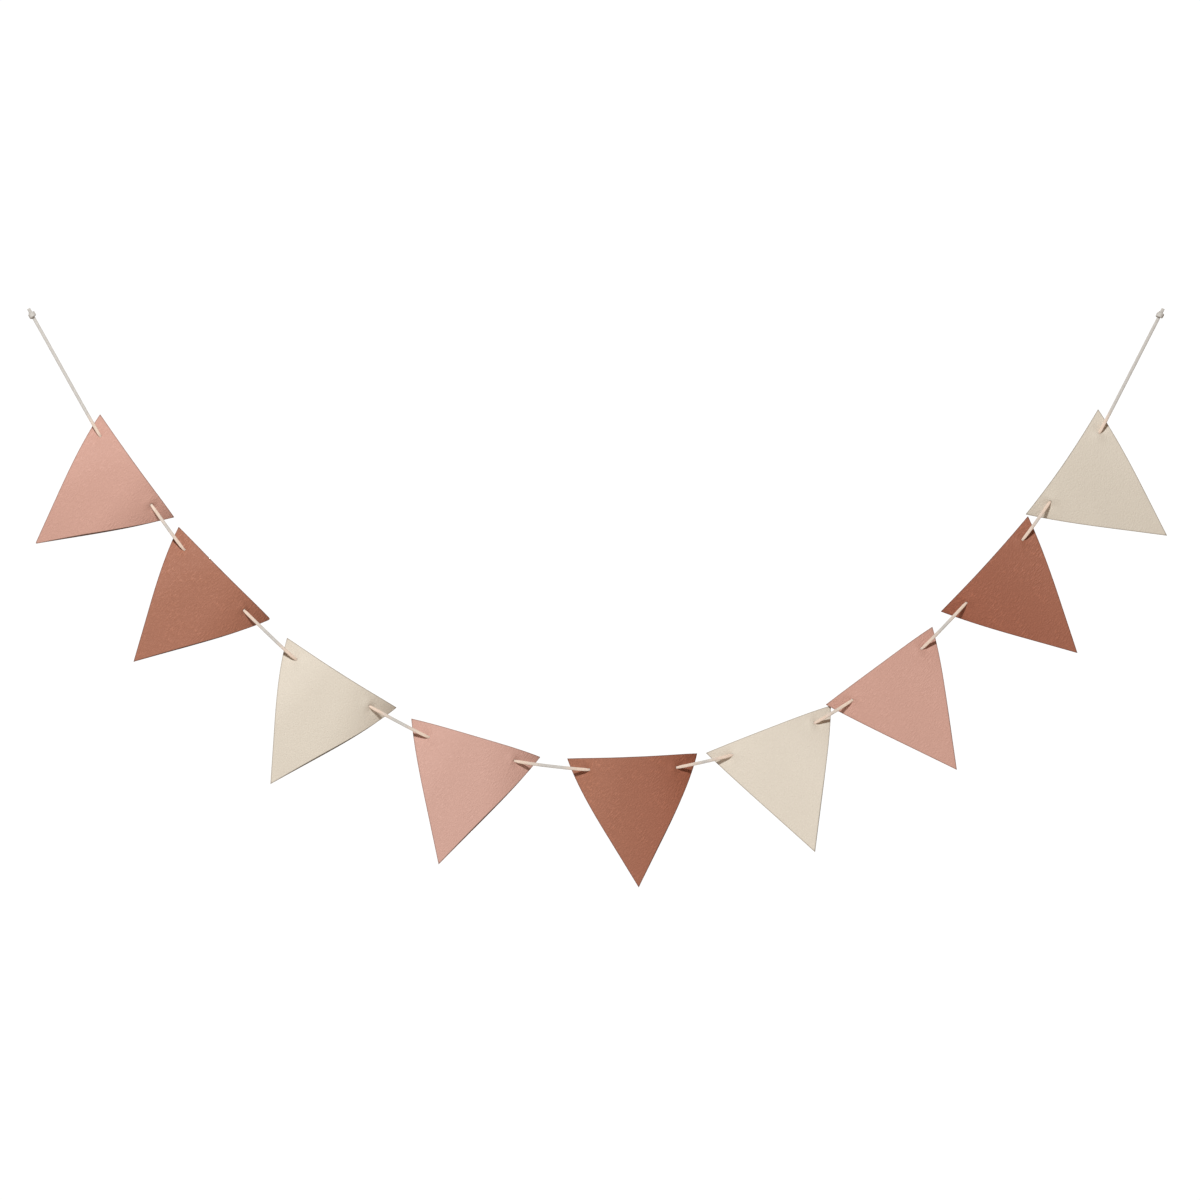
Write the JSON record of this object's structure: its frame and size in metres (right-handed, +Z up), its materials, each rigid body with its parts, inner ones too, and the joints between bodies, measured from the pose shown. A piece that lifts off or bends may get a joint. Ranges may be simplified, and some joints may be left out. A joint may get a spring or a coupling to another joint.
{
  "type": "bunting",
  "caption": "Bunting of triangular leather-look pennants in rose, terracotta and cream on a flat cream cord, hung in a swag.",
  "frame": {"origin": "middle of the knot at the cord's left end, where the garland is tied up", "axes": "+X along the garland to the viewer's right, +Y away from the viewer, +Z up"},
  "size_m": [1.1418, 0.0342, 0.5812],
  "materials": {
    "rose_leather": "satin",
    "terracotta_leather": "satin",
    "cream_leather": "satin",
    "cream_cord": "matte"
  },
  "bodies": {
    "root": {"cord": "cream_cord", "left_knot": "cream_cord", "right_knot": "cream_cord", "pennant_1": "rose_leather", "pennant_2": "terracotta_leather", "pennant_3": "cream_leather", "pennant_4": "rose_leather", "pennant_5": "terracotta_leather", "pennant_6": "cream_leather", "pennant_7": "rose_leather", "pennant_8": "terracotta_leather", "pennant_9": "cream_leather"}
  },
  "joints": []
}
